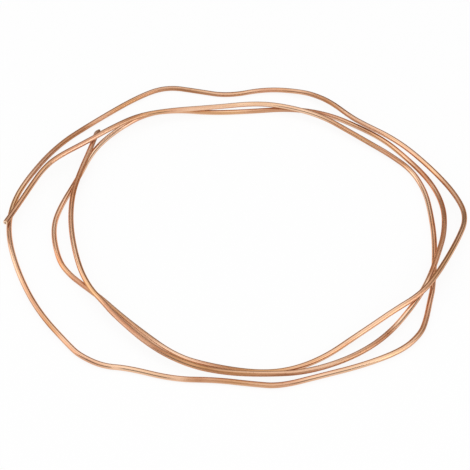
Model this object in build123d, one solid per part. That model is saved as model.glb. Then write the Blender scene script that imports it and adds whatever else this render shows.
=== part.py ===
# A loose coil of soft copper tube: one tube, bent by hand into about three wavy turns that lie on
# each other. The outer end is cut square and the inner one was snipped at a slant. Millimetres, +Z up.
# The coil lies flat on the floor, and the origin is the middle of its footprint, at floor level.
from build123d import *
import math
import os

# Driving sizes
tube_diameter = 4.0  # outside of the tube
tube_wall = 0.5  # so the bore is 3 mm
coil_radius = 170.0  # from the coil's middle to the centreline of a full-size turn
lay_gap = 0.3  # air between two stretches of tube that lie on each other
edge_break = 0.1  # bevel that the tube cutter leaves on the outer edge of the square end
snip_slant = 55.0  # degrees between the inner end's cut and a square one

# Each bend takes this share of the shorter of its two runs, from the corner along the run.
bend_share = 0.45

# Where the tube passes. A row is the angle in degrees, clockwise from the left end of the coil as
# seen from above, then the distance from the middle as a share of coil_radius, then the height
# above the floor as a share of one layer of tube: 0 lies on the floor, 1 on top of another stretch.
first_turn_shares = [
    (-2, 1.029, 1.2), (4, 0.990, 1.2), (14, 0.956, 1.3), (20, 0.943, 1.5), (26, 0.919, 1.75),
    (36, 0.862, 2.1), (46, 0.844, 2.1), (57, 0.849, 1.5), (68, 0.825, 1.2), (83, 0.800, 1.15),
    (97, 0.825, 1.15), (108, 0.833, 1.15), (120, 0.835, 1.0), (132, 0.828, 0.6), (140, 0.840, 0.35),
    (147, 0.862, 0.15), (156, 0.891, 0), (165, 0.894, 0), (174, 0.887, 0), (189, 0.896, 0),
    (205, 0.943, 0), (210, 0.966, 0), (217, 1.010, 0), (222, 1.037, 0), (229, 1.041, 0),
    (239, 1.012, 0), (249, 0.991, 0), (259, 0.995, 0), (266, 0.973, 0), (275, 0.954, 0),
    (285, 0.974, 0), (296, 0.988, 0), (302, 1.025, 0), (308, 1.034, 0), (313, 1.023, 0),
    (326, 1.003, 0), (340, 0.995, 0), (354, 1.010, 0),
]
second_turn_shares = [
    (5, 1.017, 0), (16, 1.006, 0), (32, 0.994, 0), (47, 0.984, 0), (62, 1.020, 0),
    (71, 1.034, 0), (79, 0.972, 0), (88, 0.926, 0), (99, 0.974, 0.1), (109, 0.987, 0.5),
    (115, 0.976, 0.7), (120, 0.952, 0.9), (126, 0.919, 1.05), (132, 0.905, 1.15), (145, 0.934, 1.15),
    (159, 0.965, 1.2), (171, 1.009, 1.3), (180, 1.029, 1.4), (189, 0.993, 1.6), (202, 0.953, 2.0),
    (212, 0.934, 2.0), (221, 0.893, 1.4), (228, 0.878, 0.9), (235, 0.876, 0.5), (246, 0.902, 0.05),
    (256, 0.920, 0), (265, 0.909, 0), (276, 0.877, 0), (287, 0.846, 0), (301, 0.780, 0),
    (311, 0.756, 0), (320, 0.750, 0), (328, 0.767, 0), (335, 0.792, 0), (343, 0.809, 0),
    (356, 0.813, 0),
]
third_turn_shares = [
    (7, 0.800, 0), (23, 0.789, 0), (37, 0.833, 0), (49, 0.861, 0), (61, 0.882, 0),
    (71, 0.847, 0), (82, 0.796, 0), (95, 0.800, 0), (108, 0.854, 0), (120, 0.889, 0),
    (132, 0.899, 0), (140, 0.910, 0), (148, 0.915, 0), (162, 0.935, 0.3), (174, 0.944, 0.6),
    (185, 0.933, 0.9), (195, 0.919, 1.1), (205, 0.921, 1.0), (215, 0.928, 0.75), (228, 0.950, 0.5),
    (240, 0.963, 0.6), (252, 0.964, 0.8), (262, 0.945, 0.9), (272, 0.929, 0.95), (282, 0.906, 1.0),
    (294, 0.855, 1.0), (309, 0.793, 1.05), (317, 0.771, 1.1), (325, 0.763, 1.1), (337, 0.743, 1.1),
    (355, 0.734, 1.05), (371, 0.754, 1.1), (383, 0.780, 1.2), (395, 0.833, 1.05), (404, 0.909, 0.85),
]


def place(row):
    """The point of the centreline that a row of the tables describes."""
    degrees_round, radius_share, layer_share = row
    angle = math.radians(180 - degrees_round)
    radius = radius_share * coil_radius
    height = tube_diameter / 2 + layer_share * (tube_diameter + lay_gap)
    return Vector(radius * math.cos(angle), radius * math.sin(angle), height)


def corner(before, here, after):
    """A bend passes inside its corner, so the corner stands that far outside the place, in plan."""
    outward = (here * 2 - before - after) * (bend_share / 4)
    return here + Vector(outward.X, outward.Y, 0)


def bend_radius(before, here, after):
    """The largest radius that the two runs beside a corner leave room for."""
    turn = math.radians((here - before).get_angle(after - here))
    shorter_run = min((here - before).length, (after - here).length)
    return bend_share * shorter_run / math.tan(turn / 2)


def centreline():
    """Straight runs joined by tangent bends, from one cut end to the other."""
    places = [place(row) for row in first_turn_shares + second_turn_shares + third_turn_shares]
    inner = [corner(*trio) for trio in zip(places, places[1:], places[2:])]
    corners = [places[0], *inner, places[-1]]
    radii = [bend_radius(*trio) for trio in zip(corners, corners[1:], corners[2:])]
    print("bend radii", [round(radius, 1) for radius in radii])
    return FilletPolyline(*corners, radius=radii)


def tube_along(route):
    """The drawn tube: a ring swept along the route, so its bore is open from end to end."""
    ring_plane = Plane(origin=route @ 0, z_dir=route % 0)
    outside = sweep(ring_plane * Circle(tube_diameter / 2), path=route)
    bore = sweep(ring_plane * Circle(tube_diameter / 2 - tube_wall), path=route)
    return outside - bore


def with_snipped_end(tube, route):
    """The inner end is cut at a slant, and the side nearer the coil's middle is the longer one."""
    reach = (tube_diameter + lay_gap) / 2
    depth = 2 * reach * math.tan(math.radians(snip_slant))
    along = route % 1
    from_above = Plane(origin=route @ 1, x_dir=(along.Y, -along.X, 0), z_dir=(0, 0, 1))
    outline = Polyline((reach, 0), (reach, reach), (-reach, reach), (-reach, -depth), close=True)
    offcut = extrude(from_above * make_face(outline), amount=reach, both=True)
    return tube - offcut


def with_square_end(tube, route):
    """The outer end is cut square, and the cutter's wheel has broken its outer edge."""
    cut_face = tube.faces().filter_by(GeomType.PLANE).sort_by_distance(route @ 0)[0]
    return chamfer(cut_face.outer_wire().edges(), edge_break)


def laid_on_floor(tube):
    """Moved so that the origin is under the middle of the coil, at floor level."""
    box = tube.bounding_box()
    middle = box.center()
    return Pos(-middle.X, -middle.Y, -box.min.Z) * tube


os.makedirs("parts", exist_ok=True)
route = centreline()
tube = tube_along(route)
section_area = math.pi * tube_wall * (tube_diameter - tube_wall)
print("length", round(route.length, 1))
print("volume", round(tube.volume, 1), "section times length", round(section_area * route.length, 1))
copper_tube = laid_on_floor(with_snipped_end(with_square_end(tube, route), route))
print("box", copper_tube.bounding_box())
export_step(copper_tube, "parts/copper_tube.step")
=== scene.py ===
# %% [markdown]
# # A loose coil of copper tube
# The real thing is about three metres of soft copper tube, four millimetres across. It came off a
# roll, was opened out by hand into three wavy turns, and lies flat on the floor with its turns
# crossing each other. Its outer end is cut square and its inner one was snipped off at a slant. There
# is only one piece to make, so all the care goes into its line, its cut ends and the look of drawn
# copper that has been handled.

# %% Load the frame
import math

import bpy
import numpy as np
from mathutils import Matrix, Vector


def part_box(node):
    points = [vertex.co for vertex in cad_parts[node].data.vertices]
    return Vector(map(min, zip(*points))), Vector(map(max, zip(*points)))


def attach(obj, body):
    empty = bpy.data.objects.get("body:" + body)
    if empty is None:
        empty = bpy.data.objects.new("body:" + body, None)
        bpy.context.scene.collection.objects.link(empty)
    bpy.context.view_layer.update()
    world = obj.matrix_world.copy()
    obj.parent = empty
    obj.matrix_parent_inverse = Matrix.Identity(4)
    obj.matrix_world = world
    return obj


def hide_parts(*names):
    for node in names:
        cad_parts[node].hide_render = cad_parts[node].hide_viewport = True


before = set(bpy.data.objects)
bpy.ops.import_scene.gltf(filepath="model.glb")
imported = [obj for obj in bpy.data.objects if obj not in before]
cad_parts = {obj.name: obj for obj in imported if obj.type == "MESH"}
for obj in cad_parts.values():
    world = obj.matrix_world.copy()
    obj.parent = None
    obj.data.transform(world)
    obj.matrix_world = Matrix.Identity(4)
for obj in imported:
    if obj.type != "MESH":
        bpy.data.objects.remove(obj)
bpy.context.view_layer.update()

# %% [markdown]
# ## The camera
# The coil was photographed from above its near side, with a long lens. Two things in the picture
# settle the view. The coil is nearly round on the floor but much wider than high in the picture,
# which gives the angle that the camera looks down at. The tube looks a fifth wider at the near side
# than at the far side, which gives the distance. A lens is easiest to state in pixels of the
# picture, and Blender wants it in millimetres of its sensor, so one is worked out from the other.

# %% Camera
looking_down = math.radians(43)
camera_distance = 1.265
aimed_at = Vector((-0.0004, -0.0117, 0))
picture_width_px = 470
lens_px = 1663

camera = bpy.data.objects.new("camera", bpy.data.cameras.new("camera"))
camera.data.lens = camera.data.sensor_width * lens_px / picture_width_px
towards_camera = Vector((0, -math.cos(looking_down), math.sin(looking_down)))
camera.location = aimed_at + camera_distance * towards_camera
camera.rotation_euler = (math.pi / 2 - looking_down, 0, 0)
bpy.context.scene.collection.objects.link(camera)
bpy.context.scene.camera = camera
print("lens", round(camera.data.lens, 1), "mm, camera", round(camera.location.z, 3), "m above the floor")

# %% [markdown]
# ## The line that the tube follows
# Somebody bent this tube by hand, so no formula draws it. It is written as a list of places instead,
# the way a pipe fitter would measure it: how far round the coil, how far out from the middle, and how
# high. Round and out are easier to judge than X and Y, because a plain circle would be one number all
# the way. Out is a share of the coil's radius. High is a share of one layer of tube, so 0 lies on the
# floor and 1 lies on top of another stretch.

# %% Places along the tube
tube_radius = 0.002
tube_wall = 0.0005
coil_radius = 0.170
lay_gap = 0.0003

first_turn_shares = [
    (-2, 1.029, 1.2), (4, 0.990, 1.2), (14, 0.956, 1.3), (20, 0.943, 1.5), (26, 0.919, 1.75),
    (36, 0.862, 2.1), (46, 0.844, 2.1), (57, 0.849, 1.5), (68, 0.825, 1.2), (83, 0.800, 1.15),
    (97, 0.825, 1.15), (108, 0.833, 1.15), (120, 0.835, 1.0), (132, 0.828, 0.6), (140, 0.840, 0.35),
    (147, 0.862, 0.15), (156, 0.891, 0), (165, 0.894, 0), (174, 0.887, 0), (189, 0.896, 0),
    (205, 0.943, 0), (210, 0.966, 0), (217, 1.010, 0), (222, 1.037, 0), (229, 1.041, 0),
    (239, 1.012, 0), (249, 0.991, 0), (259, 0.995, 0), (266, 0.973, 0), (275, 0.954, 0),
    (285, 0.974, 0), (296, 0.988, 0), (302, 1.025, 0), (308, 1.034, 0), (313, 1.023, 0),
    (326, 1.003, 0), (340, 0.995, 0), (354, 1.010, 0),
]
second_turn_shares = [
    (5, 1.017, 0), (16, 1.006, 0), (32, 0.994, 0), (47, 0.984, 0), (62, 1.020, 0),
    (71, 1.034, 0), (79, 0.972, 0), (88, 0.926, 0), (99, 0.974, 0.1), (109, 0.987, 0.5),
    (115, 0.976, 0.7), (120, 0.952, 0.9), (126, 0.919, 1.05), (132, 0.905, 1.15), (145, 0.934, 1.15),
    (159, 0.965, 1.2), (171, 1.009, 1.3), (180, 1.029, 1.4), (189, 0.993, 1.6), (202, 0.953, 2.0),
    (212, 0.934, 2.0), (221, 0.893, 1.4), (228, 0.878, 0.9), (235, 0.876, 0.5), (246, 0.902, 0.05),
    (256, 0.920, 0), (265, 0.909, 0), (276, 0.877, 0), (287, 0.846, 0), (301, 0.780, 0),
    (311, 0.756, 0), (320, 0.750, 0), (328, 0.767, 0), (335, 0.792, 0), (343, 0.809, 0),
    (356, 0.813, 0),
]
third_turn_shares = [
    (7, 0.800, 0), (23, 0.789, 0), (37, 0.833, 0), (49, 0.861, 0), (61, 0.882, 0),
    (71, 0.847, 0), (82, 0.796, 0), (95, 0.800, 0), (108, 0.854, 0), (120, 0.889, 0),
    (132, 0.899, 0), (140, 0.910, 0), (148, 0.915, 0), (162, 0.935, 0.3), (174, 0.944, 0.6),
    (185, 0.933, 0.9), (195, 0.919, 1.1), (205, 0.921, 1.0), (215, 0.928, 0.75), (228, 0.950, 0.5),
    (240, 0.963, 0.6), (252, 0.964, 0.8), (262, 0.945, 0.9), (272, 0.929, 0.95), (282, 0.906, 1.0),
    (294, 0.855, 1.0), (309, 0.793, 1.05), (317, 0.771, 1.1), (325, 0.763, 1.1), (337, 0.743, 1.1),
    (355, 0.734, 1.05), (371, 0.754, 1.1), (383, 0.780, 1.2), (395, 0.833, 1.05), (404, 0.909, 0.85),
]


def place(row):
    """A row of the tables as a point, counted clockwise from the coil's left end."""
    degrees_round, radius_share, layer_share = row
    angle = math.radians(180 - degrees_round)
    height = tube_radius + layer_share * (2 * tube_radius + lay_gap)
    out = radius_share * coil_radius
    return Vector((out * math.cos(angle), out * math.sin(angle), height))


places = [place(row) for row in first_turn_shares + second_turn_shares + third_turn_shares]
print(len(places), "places along the tube")

# %% [markdown]
# ## From places to a smooth line
# A polyline through the places would look like bent wire, and soft tube has no corners. A NURBS
# spline of order 3 bends evenly between its control points, but it passes inside each of them, by an
# eighth of how far that point stands out from its neighbours on both sides. So each control point
# stands that much further out than its place, and the line then goes through the places. Blender
# works the spline out when the curve is turned into a mesh, and with no bevel on the curve that mesh
# is just a row of points.

# %% Centreline
spline_steps = 12
inside_share = 1 / 8


def control_point(before, here, after):
    """The corner whose bend passes through the middle place of three, seen from above."""
    outward = (2 * here - before - after) * inside_share
    return here + Vector((outward.x, outward.y, 0))


def points_on_spline(controls):
    """Points along a NURBS spline with these control points, as many for each stretch between two."""
    curve = bpy.data.curves.new("centreline", "CURVE")
    curve.dimensions = "3D"
    curve.resolution_u = spline_steps
    spline = curve.splines.new("NURBS")
    spline.points.add(len(controls) - 1)
    for point, control in zip(spline.points, controls):
        point.co = (*control, 1)
    spline.order_u = 3
    spline.use_endpoint_u = True
    holder = bpy.data.objects.new("centreline", curve)
    row_of_points = bpy.data.meshes.new_from_object(holder)
    found = np.array([vertex.co for vertex in row_of_points.vertices])
    bpy.data.objects.remove(holder)
    bpy.data.curves.remove(curve)
    bpy.data.meshes.remove(row_of_points)
    return found


inner_controls = [control_point(*trio) for trio in zip(places, places[1:], places[2:])]
centreline = points_on_spline([places[0], *inner_controls, places[-1]])
steps = np.linalg.norm(np.diff(centreline, axis=0), axis=1)
distance = np.concatenate([[0], np.cumsum(steps)])
tube_length = float(distance[-1])
print(len(centreline), "points on", round(tube_length, 3), "m of tube, at most",
      round(steps.max() * 1000, 2), "mm apart")

# %% [markdown]
# ## Rings along the line
# The tube is a ring carried along its line. A curve's own bevel would do that, but it gives no bore,
# no shaped ends and no way to tell the material where on the tube a point is. So the rings are laid
# by hand, and each ring needs two directions square to the line. The coil lies flat, so one of them
# is always level, pointing sideways, and the other then points nearly straight up. With those two
# the rings never twist, and the same side of the tube stays underneath all the way round.

# %% Directions of the rings
along = np.gradient(centreline, distance, axis=0)
along /= np.linalg.norm(along, axis=1)[:, None]
sideways = np.cross((0, 0, 1), along)
sideways /= np.linalg.norm(sideways, axis=1)[:, None]
upward = np.cross(along, sideways)
print("steepest climb", round(math.degrees(math.asin(np.abs(along[:, 2]).max())), 1), "degrees")

# %% [markdown]
# ## The cut ends
# The outer end was cut with a tube cutter, which rolls its wheel round the tube until the end drops
# off. The wheel is a blunt wedge and the copper is soft, so it pushes the edge in as it goes. The end
# comes out rounded over, with a flat ring of fresh metal in front and a mouth that is narrower than
# the bore behind it. The inner end was snipped off instead, so its wall keeps its thickness and only
# its edges are blunted. At four millimetres across that is all an end has to show, and it is what
# tells a real cut end from a cylinder's flat cap. The profiles below are in millimetres: how far in
# from the tip, and how far from the axis. They run from the bore to the lip, out across the flat ring
# and round the outer edge, with points close together where they turn sharply.

# %% Profiles of the cut ends
millimetre = 0.001
square_end_mm = [
    (3.20, 1.500), (2.00, 1.498), (1.40, 1.460), (0.95, 1.350), (0.60, 1.180), (0.35, 0.990),
    (0.18, 0.830), (0.08, 0.745), (0.02, 0.705), (0.00, 0.722), (0.00, 0.800), (0.01, 1.150),
    (0.03, 1.480), (0.07, 1.600), (0.15, 1.700), (0.28, 1.790), (0.48, 1.870), (0.75, 1.935),
    (1.05, 1.975), (1.45, 1.995), (1.90, 2.000),
]
snipped_end_mm = [
    (3.20, 1.500), (1.20, 1.500), (0.40, 1.500), (0.10, 1.505), (0.02, 1.530), (0.00, 1.570),
    (0.00, 1.750), (0.00, 1.920), (0.02, 1.965), (0.10, 1.995), (0.40, 2.000), (1.20, 2.000),
]


def end_rows(profile_mm, tip, inward):
    """Rows of the profile at one end: index on the centreline, shift along it, and radius."""
    return [(tip, inward * inset * millimetre, radius * millimetre) for inset, radius in profile_mm]


print(len(square_end_mm), "rows in the square end,", len(snipped_end_mm), "in the snipped one")

# %% [markdown]
# ## One skin, inside and out
# The rows of the skin go along the outside, over one cut end, back through the bore and over the
# other cut end, and there they meet the first row again. A skin that closes on itself has no loose
# edge, as a real tube has none. Nobody sees far into the bore, so only every third ring is used there.

# %% Rows of the whole skin
bore_radius = tube_radius - tube_wall
bore_step = 3
last = len(centreline) - 1
rows = end_rows(square_end_mm, 0, 1)
rows += [(index, 0, tube_radius) for index in range(1, last)]
rows += end_rows(snipped_end_mm, last, -1)[::-1]
rows += [(index, 0, bore_radius) for index in range(last - bore_step, bore_step, -bore_step)]
row_index, row_shift, row_radius = (np.array(column) for column in zip(*rows))
print(len(rows), "rows from one end to the other and back through the bore")

# %% [markdown]
# ## A slanted cut
# Each row becomes a ring of corners, counted round from the underside. A ring alone would end square,
# so towards the snipped end its corners are drawn back along the tube, by more the nearer they are to
# the outer side of the coil. The last ring then leans at the angle of the snip, and the rings before it
# lean less and less, so none of them cross. Every corner also keeps the place that it had while the
# tube was still straight and whole, because that is when its drawn lines were made. The material reads
# that place later, so its marks bend with the tube.

# %% Corners of the rings
sides = 32
snip_slant = math.radians(55)
snip_zone = 0.016


def read_along(values, places_along):
    """Points or directions on the centreline at these distances from its first tip."""
    return np.stack([np.interp(places_along, distance, column) for column in values.T], axis=-1)


turn = (np.arange(sides) / sides - 1 / 4) * 2 * math.pi
row_distance = np.repeat((distance[row_index] + row_shift)[:, None], sides, axis=1)
leftward = row_radius[:, None] * np.cos(turn)
rise = row_radius[:, None] * np.sin(turn)
cut_back = (tube_radius + lay_gap / 2 + leftward) * math.tan(snip_slant)
near_snip = np.clip(1 - (tube_length - row_distance) / snip_zone, 0, 1)
reached = row_distance - cut_back * near_snip
corners = read_along(centreline, reached) + leftward[..., None] * read_along(sideways, reached)
corners = (corners + rise[..., None] * read_along(upward, reached)).reshape(-1, 3)
straight = np.stack([leftward, rise, row_distance], axis=-1)
print("the snip takes off up to", round(cut_back.max() / millimetre, 1), "mm")

# %% [markdown]
# ## Faces
# Each pair of neighbouring rings becomes a band of four-sided faces, and the last ring joins the first.
# The skin is then moved sideways until its box has the same middle as the tube of the frame.

# %% Faces
here = np.arange(len(rows) * sides).reshape(len(rows), sides)
beside = np.roll(here, -1, axis=1)
faces = np.stack([here, beside, np.roll(beside, -1, axis=0), np.roll(here, -1, axis=0)], axis=-1)
faces = faces.reshape(-1, 4)

low, high = (np.array(corner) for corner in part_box("copper_tube"))
middle = (corners.min(axis=0) + corners.max(axis=0)) / 2
corners[:, :2] += ((low + high) / 2 - middle)[:2]
print(len(corners), "corners,", 2 * len(faces), "triangles")
print("skin box", corners.min(axis=0).round(5), corners.max(axis=0).round(5))

# %% [markdown]
# ## Bright, dull and ruddy stretches
# Some stretches are made paler, some duller and browner, and some redder. Each is set to the tone of the
# tube there, so it is partly the copper's own colour and partly painted light and painted shade. They
# are
# listed: from and to, in millimetres of tube from the outer tip, and one of three strengths. Some
# stretches also get painted shade on the side nearer the coil's middle and others on the side away from
# it, with a faint painted highlight on the other side.

# %% Stretches along the tube
faint = 0.5
clear = 0.8
strong = 1.2
# These stretches are partly the copper's own tone and partly painted light and painted shade. The bright
# and ruddy stretch from 930 to 1010 mm is painted light laid over the shadow that the outer end casts on
# the tube there.
bright_stretches = [
    (200, 330, clear), (410, 470, strong), (630, 690, clear), (770, 830, clear), (930, 1010, clear),
    (1640, 1700, faint), (1820, 1850, strong), (1970, 2040, clear), (2070, 2140, strong),
    (2540, 2600, strong), (2900, 2960, faint),
]
dull_stretches = [
    (70, 170, clear), (360, 410, faint), (570, 620, clear), (700, 770, clear), (1060, 1140, strong),
    (1190, 1280, clear), (1340, 1410, strong), (1490, 1530, strong), (1600, 1650, clear),
    (1780, 1810, strong), (1850, 1950, clear), (2240, 2350, clear), (2400, 2430, strong),
    (2480, 2540, strong), (2600, 2750, strong), (2780, 2850, clear), (2970, 3060, strong),
]
ruddy_stretches = [
    (420, 520, strong), (930, 1010, strong), (1960, 2020, strong), (2410, 2540, strong),
    (2900, 3060, strong),
]
# Painted shade on one side of the tube: first on the side nearer the coil's middle, then on the side
# away from it. The other side of these stretches gets a faint painted highlight.
shaded_inside_stretches = [
    (590, 680, clear), (800, 860, clear), (1490, 1530, clear), (1600, 1670, clear), (1790, 1890, strong),
    (2620, 2720, strong), (2900, 2990, faint),
]
shaded_outside_stretches = [
    (440, 510, clear), (880, 940, clear), (1190, 1340, faint), (1370, 1460, clear), (2440, 2520, strong),
]
print(len(bright_stretches), "bright,", len(dull_stretches), "dull,", len(ruddy_stretches), "ruddy")

# %% [markdown]
# ## Tone at every corner
# No stretch begins at a sharp line, so its strength comes and goes over a centimetre or so. Every corner
# of the skin keeps four numbers for the material: bright, dull, ruddy, and which side has painted shade.

# %% Tone along the rows
fade_mm = 14


def strength_along(stretches, places_mm):
    """How strongly these stretches show at places along the tube, with soft ends."""
    found = np.zeros_like(places_mm)
    for from_mm, to_mm, strength in stretches:
        inside = np.minimum(places_mm - from_mm, to_mm - places_mm) / fade_mm + 1 / 2
        found = np.maximum(found, strength * np.clip(inside, 0, 1))
    return found


row_mm = row_distance / millimetre
tone_lists = (bright_stretches, dull_stretches, ruddy_stretches)
# The tone along the tube, partly its own colour and partly painted light and shade, goes onto every row.
tone_along = np.stack([strength_along(stretches, row_mm) for stretches in tone_lists], axis=-1)
# The painted side shade: above zero on the side nearer the middle, below zero on the side away from it.
lean = strength_along(shaded_inside_stretches, row_mm) - strength_along(shaded_outside_stretches, row_mm)
print("bright, dull and ruddy on average:", tone_along.mean(axis=(0, 1)).round(2))

# %% [markdown]
# ## Unrolling the skin
# When the finish is baked into a picture, the skin has to lie flat in a square. Three metres of tube
# is far too long for that in one piece, so the unrolled skin is cut into strips of equal length that
# lie one above the other, with a narrow margin between them.

# %% Strips of the unrolled skin
rows_in_strip = 96
strip_count = math.ceil(len(rows) / rows_in_strip)
strip_margin = 0.06
row_number, side_number = np.divmod(np.arange(len(faces)), sides)
strip, row_in_strip = np.divmod(row_number, rows_in_strip)
corner_row = row_in_strip[:, None] + np.array([0, 0, 1, 1])
corner_side = side_number[:, None] + np.array([0, 1, 1, 0])
across_share = corner_row / rows_in_strip
up_share = strip_margin + (1 - 2 * strip_margin) * corner_side / sides
unrolled = np.stack([across_share, (strip[:, None] + up_share) / strip_count], axis=-1)
print(strip_count, "strips of", rows_in_strip, "rows")

# %% [markdown]
# ## The mesh
# The skin stands for the tube of the frame and lies where that tube lies, so it rides on the same body.

# %% Mesh
skin = bpy.data.meshes.new("copper_tube_skin")
skin.from_pydata(corners.tolist(), [], faces.tolist())
skin.shade_smooth()
marks_made_on = skin.attributes.new("straight", "FLOAT_VECTOR", "POINT")
marks_made_on.data.foreach_set("vector", straight.astype(np.float32).ravel())
tone_attribute = skin.attributes.new("tone_along", "FLOAT_VECTOR", "POINT")
tone_attribute.data.foreach_set("vector", tone_along.astype(np.float32).ravel())
# The corners also keep the painted side shade.
one_sided = skin.attributes.new("lean", "FLOAT", "POINT")
one_sided.data.foreach_set("value", lean.astype(np.float32).ravel())
strips = skin.uv_layers.new(name="OFBake")
strips.uv.foreach_set("vector", unrolled.astype(np.float32).ravel())
copper_tube_skin = bpy.data.objects.new("copper_tube_skin", skin)
bpy.context.scene.collection.objects.link(copper_tube_skin)
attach(copper_tube_skin, "root")
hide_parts("copper_tube")
print("mesh problems found:", skin.validate())

# %% [markdown]
# ## Writing materials as sums
# A material is a graph of nodes, and its sums are hard to read as boxes and wires. The small class
# below stands for one output of a node. Adding or multiplying two of them adds a Math node, so the
# rest of the material reads like arithmetic. Every other node comes from one method, which sets the
# node's settings first and then its sockets.

# %% Node helper
class Wire:
    """One output of a node in a material. Sums with it add Math nodes."""

    def __init__(self, tree, socket=None):
        self.tree = tree
        self.socket = socket

    def node(self, kind, settings, inputs, output=None):
        """Adds a node of a kind, with its settings, then its sockets, and returns one output."""
        made = self.tree.nodes.new(kind)
        for name, value in settings.items():
            setattr(made, name, value)
        sockets = {socket.identifier: socket for socket in made.inputs}
        for name, value in inputs.items():
            socket = made.inputs[name] if isinstance(name, int) else sockets[name]
            if isinstance(value, Wire):
                self.tree.links.new(value.socket, socket)
            else:
                socket.default_value = value
        in_use = [socket for socket in made.outputs if socket.enabled]
        if not in_use:
            return None
        return Wire(self.tree, made.outputs[output] if output else in_use[0])

    def maths(self, operation, first, second=0.0):
        """One Math node on two values."""
        return self.node("ShaderNodeMath", {"operation": operation}, {0: first, 1: second})

    def __add__(self, other):
        return self.maths("ADD", self, other)

    def __sub__(self, other):
        return self.maths("SUBTRACT", self, other)

    def __rsub__(self, other):
        return self.maths("SUBTRACT", other, self)

    def __mul__(self, other):
        return self.maths("MULTIPLY", self, other)

    __radd__ = __add__
    __rmul__ = __mul__

    def above_zero(self):
        """This value where it is positive, and 0 elsewhere."""
        return self.maths("MAXIMUM", self, 0.0)

    def between(self, low, high):
        """0 below low, 1 above high and a smooth step from one to the other."""
        inputs = {"Value": self, "From Min": low, "From Max": high}
        return self.node("ShaderNodeMapRange", {"interpolation_type": "SMOOTHSTEP"}, inputs)

    def tinted(self, first, second):
        """A colour that goes from the first to the second as this value goes from 0 to 1."""
        inputs = {"Factor_Float": self, "A_Color": first, "B_Color": second}
        return self.node("ShaderNodeMix", {"data_type": "RGBA"}, inputs)

    def read(self, attribute, output="Vector"):
        """What the corners of the skin keep under this name."""
        return self.node("ShaderNodeAttribute", {"attribute_name": attribute}, {}, output)

    def part(self, axis):
        """One of the three numbers of this vector."""
        return self.node("ShaderNodeSeparateXYZ", {}, {0: self}, axis)

    def squeezed(self, across=1, along=1):
        """These places on the tube moved closer together, so marks laid on them come out longer."""
        factors = (across, across, along)
        return self.node("ShaderNodeVectorMath", {"operation": "MULTIPLY"}, {0: self, 1: factors})

    def cloud(self, size, detail=2.0, roughness=0.5):
        """Soft noise over this vector, whose blotches are about this size in metres."""
        inputs = {"Vector": self, "Scale": 1 / size, "Detail": detail, "Roughness": roughness}
        return self.node("ShaderNodeTexNoise", {}, inputs)


def rgb(red, green, blue):
    """A colour as a screen shows it, from 0 to 255, made linear by the sRGB rule for the shader."""
    shares = [number / 255 for number in (red, green, blue)]
    linear = [share / 12.92 if share < 0.04045 else ((share + 0.055) / 1.055) ** 2.4 for share in shares]
    return (*linear, 1)


print("a screen's middle grey is", round(rgb(128, 128, 128)[0], 3), "to the shader")

# %% [markdown]
# ## Where a point is on the tube
# All the marks follow the tube, so the material starts from the place that each point had while the
# tube was straight. From it come the distance from the axis, which tells the bore from the outside,
# and the distance from the nearer tip, which finds the cut ends.

# %% Copper: places on the tube
copper = bpy.data.materials.new("drawn_copper")
copper.use_nodes = True
skin.materials.append(copper)
start = Wire(copper.node_tree)
on_tube = start.read("straight")
from_first_tip = on_tube.part("Z")
from_last_tip = tube_length - from_first_tip
from_tip = start.maths("MINIMUM", from_first_tip, from_last_tip)
flat_on_axis = on_tube.squeezed(along=0)
from_axis = start.node("ShaderNodeVectorMath", {"operation": "LENGTH"}, {0: flat_on_axis}, "Value")
print("the marks are laid on", round(tube_length, 3), "m of straight tube")

# %% [markdown]
# ## The drawn surface
# Tube is made by pulling it through a die, which leaves fine lines along it. Noise that is stretched a
# hundredfold along the tube gives such lines. They show as faint light and dark streaks and as a very
# slight relief, and they are why a highlight on drawn copper looks brushed along the tube. Coming off
# the roll has also left short scuffs across it, in patches.

# %% Copper: drawn lines and scuffs
fine_line = 0.0005
broad_line = 0.0016
scuffed_patch = 0.009
scuff_width = 0.0004

draw_lines = on_tube.squeezed(along=0.010).cloud(fine_line, detail=4, roughness=0.6)
# The broad lines also carry painted highlight and painted shade: pale and brown streaks along the tube,
# at random places, that stand in for bright and dark lines of reflection.
broad_lines_and_sheen = on_tube.squeezed(along=0.016).cloud(broad_line)
scuffed = on_tube.squeezed(along=0.5).cloud(scuffed_patch).between(0.54, 0.68)
scuffs = on_tube.squeezed(across=0.12).cloud(scuff_width).between(0.56, 0.72) * scuffed
print("drawn lines, broad lines and scuffs:", len(copper.node_tree.nodes), "nodes so far")

# %% [markdown]
# ## Tone, browning and painted side shade
# The corners of the skin already say which stretches are bright, dull or ruddy. Noise breaks them up,
# so they don't look painted on: soft rubbed patches, brown blotches drawn out along the tube, and a few
# dark freckles where it is dull. The side of the tube is its place across the axis, from -1 on the side
# nearer the coil's middle to 1 on the other, and it says which side gets the painted shade.

# %% Copper: tone, browning and side shade
warm_patch = 0.075
rubbed_patch = 0.022
blotch = 0.007
freckle = 0.0007

tone_there = start.read("tone_along")
bright, dull, ruddy = (tone_there.part(axis) for axis in "XYZ")
side_of_tube = on_tube.part("X") * (1 / tube_radius)
# Below zero this side of the tube gets painted shade, above zero a faint painted highlight.
side_light_and_shade = start.read("lean", "Fac") * side_of_tube
warmth = on_tube.cloud(warm_patch).between(0.36, 0.62)
polish = on_tube.squeezed(along=0.6).cloud(rubbed_patch, detail=1).between(0.50, 0.66)
blotches = on_tube.squeezed(along=0.15).cloud(blotch).between(0.46, 0.70)
# Browning: brown blotches, and the dull stretches, which are partly painted shade.
browning = blotches * (0.3 - bright * 0.25 + dull * 0.3) + dull * 0.42
freckles = on_tube.squeezed(along=0.6).cloud(freckle, detail=1).between(0.70, 0.76) * dull
print("wear and tarnish:", len(copper.node_tree.nodes), "nodes so far")

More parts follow.
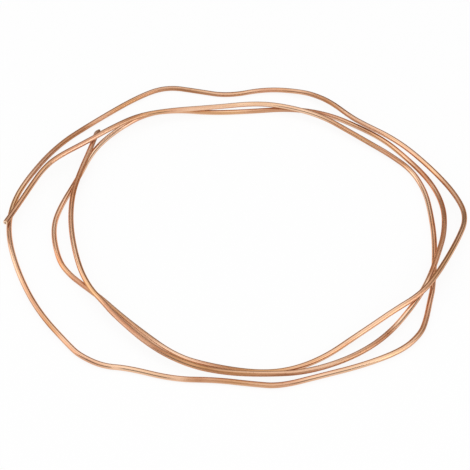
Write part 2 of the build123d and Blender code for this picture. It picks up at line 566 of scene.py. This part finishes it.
# %% [markdown]
# ## Colour in layers
# Clean copper drifts from rosy to golden along the tube. Everything else lies over that in layers, each
# with its own colour and a share that says how much of it shows at a point, and some layers are painted
# light and shade. Copper's colour comes from its reflection, so the shader is all metal and this is its
# base colour. Browning, scuffs and freckles also take the polish off, which is the roughness.

# %% Copper: colour
rosy = rgb(221, 169, 139)
golden = rgb(209, 160, 114)
red = rgb(239, 168, 124)
pale = rgb(248, 212, 182)
brown = rgb(158, 101, 65)
freckle_brown = rgb(96, 62, 44)

layers = [
    # The ruddy and bright stretches below are partly painted light.
    (ruddy * 0.8, red),
    (polish * 0.3 + bright * 0.6, pale),
    (browning, brown),
    # Painted shade on one side of the tube and a faint painted highlight on the other.
    ((0 - side_light_and_shade).above_zero() * 0.75, brown),
    (side_light_and_shade.above_zero() * 0.1, pale),
    # Painted shade and painted highlight lines: brown and pale streaks along the tube from the broad
    # lines.
    (broad_lines_and_sheen.between(0.50, 0.66) * 0.4, brown),
    ((1 - broad_lines_and_sheen.between(0.36, 0.50)) * 0.5, pale),
    (draw_lines.between(0.55, 0.70) * 0.12, brown),
    (freckles * 0.6, freckle_brown),
]
colour = warmth.tinted(rosy, golden)
for share, tint in layers:
    colour = share.tinted(colour, tint)
polished = 0.13
rough = polished + browning * 0.16 + dull * 0.14 + draw_lines * 0.08 + scuffs * 0.20 + freckles * 0.2
print("colour:", len(layers), "layers,", len(copper.node_tree.nodes), "nodes so far")

# %% [markdown]
# ## The ends and the bore
# The cut itself is fresh metal, pale and finely scratched, so it scatters light instead of mirroring
# it. The mouth just behind it was rubbed clean by the cut and is as pale. Further in, the tube was never
# polished and the bore is dull. The last centimetre or two at each end is a darker grey brown. Each of
# these is a mask that goes from 0 to 1, and the pairs of numbers, in metres, say between which distances
# from the tip or from the axis it changes.

# %% Copper: masks at the ends
cut_depth = (0.00010, 0.00030)
bore_wall = (0.00152, 0.00158)
mouth_depth = (0.0015, 0.0050)
first_darkening = (0.003, 0.022)
last_darkening = (0.002, 0.018)
darkening_patch = 0.004
darkening_wander = 0.03

cut = 1 - from_tip.between(*cut_depth)
in_bore = (1 - from_axis.between(*bore_wall)) * (1 - cut)
mouth = in_bore * (1 - from_tip.between(*mouth_depth))
darkening_edge = (on_tube.squeezed(along=0.5).cloud(darkening_patch, detail=3) - 0.5) * darkening_wander
first_end = 1 - (from_first_tip + darkening_edge).between(*first_darkening)
last_end = 1 - (from_last_tip + darkening_edge).between(*last_darkening)
# The last centimetre or two at each end is made a darker grey brown.
darker_ends = (first_end * 0.4 + last_end * 0.5) * (1 - cut)
print("masks at the ends:", len(copper.node_tree.nodes), "nodes so far")

# %% [markdown]
# ## Colour of the ends and the bore
# These layers lie over all the others, in this order. Where metal is torn or scratched it no longer
# mirrors, so the cut and the mouth are made a little less metallic as well as rougher.

# %% Copper: ends and bore
fresh = rgb(252, 222, 192)
dull_bore = rgb(150, 104, 78)
end_grey_brown = rgb(112, 88, 70)
most_shine_lost = 0.8

for share, tint in ((darker_ends, end_grey_brown), (in_bore, dull_bore), (mouth, fresh), (cut, fresh)):
    colour = share.tinted(colour, tint)
rough = rough + darker_ends * 0.16 + in_bore * 0.3 + cut * 0.25
shine_lost = mouth * 0.7 + cut * 0.3
metal = 1 - start.maths("MINIMUM", shine_lost, most_shine_lost)
print("ends and bore:", len(copper.node_tree.nodes), "nodes so far")

# %% [markdown]
# ## Joining it to the shader
# The relief goes through a Bump node. Its height is a few hundredths of a millimetre at most, with the
# scuffs and freckles cut in and the drawn lines standing up. Seen along its surface, clean metal mirrors
# everything and loses its own colour. Handled copper keeps some of it, which is the Specular Tint.

# %% Copper: shader
relief_height = 0.00003
relief_strength = 0.5
seen_along = rgb(240, 199, 174)

relief = draw_lines * 0.7 + broad_lines_and_sheen * 0.6 - scuffs * 0.8 - freckles * 0.5
bump_inputs = {"Strength": relief_strength, "Distance": relief_height, "Height": relief}
bump = start.node("ShaderNodeBump", {}, bump_inputs)
shader = copper.node_tree.nodes["Principled BSDF"]
shader.inputs["Specular Tint"].default_value = seen_along
finish = {"Base Color": colour, "Roughness": rough, "Metallic": metal, "Normal": bump}
for socket_name, wire in finish.items():
    copper.node_tree.links.new(wire.socket, shader.inputs[socket_name])
print("drawn copper:", len(copper.node_tree.nodes), "nodes")

# %% [markdown]
# ## The floor
# The coil lies on a plain white sheet. Lit at a plain level, white paper renders a little grey, and
# more light would wash out the copper. So the sheet is partly plain white wherever the camera or a
# reflection looks at it, and partly a white surface that takes light and keeps the coil's shadow.

# %% Floor sheet
floor_half = 40
sheet_corners = [(-1, -1), (1, -1), (1, 1), (-1, 1)]
sheet_places = [(x * floor_half, y * floor_half, 0) for x, y in sheet_corners]
sheet_mesh = bpy.data.meshes.new("white_sheet")
sheet_mesh.from_pydata(sheet_places, [], [(0, 1, 2, 3)])
sheet = bpy.data.objects.new("white_sheet", sheet_mesh)
bpy.context.scene.collection.objects.link(sheet)
print("white sheet", 2 * floor_half, "m wide")

# %% Floor paper
white_share = 0.88
paper_white = (0.92, 0.92, 0.92, 1)
plain_white = (1, 1, 1, 1)

paper = bpy.data.materials.new("white_paper")
paper.use_nodes = True
paper.node_tree.nodes.clear()
sheet_mesh.materials.append(paper)
start = Wire(paper.node_tree)
looks = ("Is Camera Ray", "Is Glossy Ray", "Is Transmission Ray")
by_camera, by_gloss, by_glass = (start.node("ShaderNodeLightPath", {}, {}, look) for look in looks)
looked_at = (by_camera + by_gloss + by_glass) * white_share
lit = start.node("ShaderNodeBsdfDiffuse", {}, {"Color": paper_white})
white = start.node("ShaderNodeEmission", {}, {"Color": plain_white, "Strength": 1.0})
mixed = start.node("ShaderNodeMixShader", {}, {0: looked_at, 1: lit, 2: white})
start.node("ShaderNodeOutputMaterial", {}, {"Surface": mixed})
print("white paper:", len(paper.node_tree.nodes), "nodes")

# %% [markdown]
# ## The light
# Polished metal shows what stands around it, so the light is really a set of white surfaces for the
# tube to mirror. A wide scrim overhead gives every stretch its bright core, whichever way it runs.
# Panels in front, at the right and at the left stand close to the floor and light the lower side of
# the stretches that face them, and the right one is the brightest, so it draws a crisp line there.
# Nothing stands behind the coil but a dim room, which gives the tube its thin dark outline. A surface
# sends out its brightness times pi for each square metre, so that is how a lamp's power is set here.

# %% Lamps
def softbox(name, centre, size, brightness):
    """A square of even light that faces the coil."""
    data = bpy.data.lights.new(name, "AREA")
    data.shape = "SQUARE"
    data.size = size
    data.energy = brightness * math.pi * size * size
    box = bpy.data.objects.new(name, data)
    box.location = centre
    box.rotation_euler = Vector(centre).to_track_quat("Z", "Y").to_euler()
    bpy.context.scene.collection.objects.link(box)
    print(name, round(data.energy, 1), "W")


softbox("scrim", centre=(0.05, 0.0, 1.25), size=2.8, brightness=0.87)
softbox("front panel", centre=(0.0, -1.8, 0.5), size=1.4, brightness=0.9)
softbox("right panel", centre=(1.65, -0.8, 0.5), size=1.2, brightness=2.3)
softbox("left panel", centre=(-1.75, 0.2, 0.6), size=1.7, brightness=1.35)

# %% Room
room_brightness = 0.3
room = bpy.data.worlds.new("room")
room.use_nodes = True
bpy.context.scene.world = room
room.node_tree.nodes["Background"].inputs["Color"].default_value = plain_white
room.node_tree.nodes["Background"].inputs["Strength"].default_value = room_brightness
bpy.context.scene.view_settings.view_transform = "Standard"
print("room brightness", room_brightness)
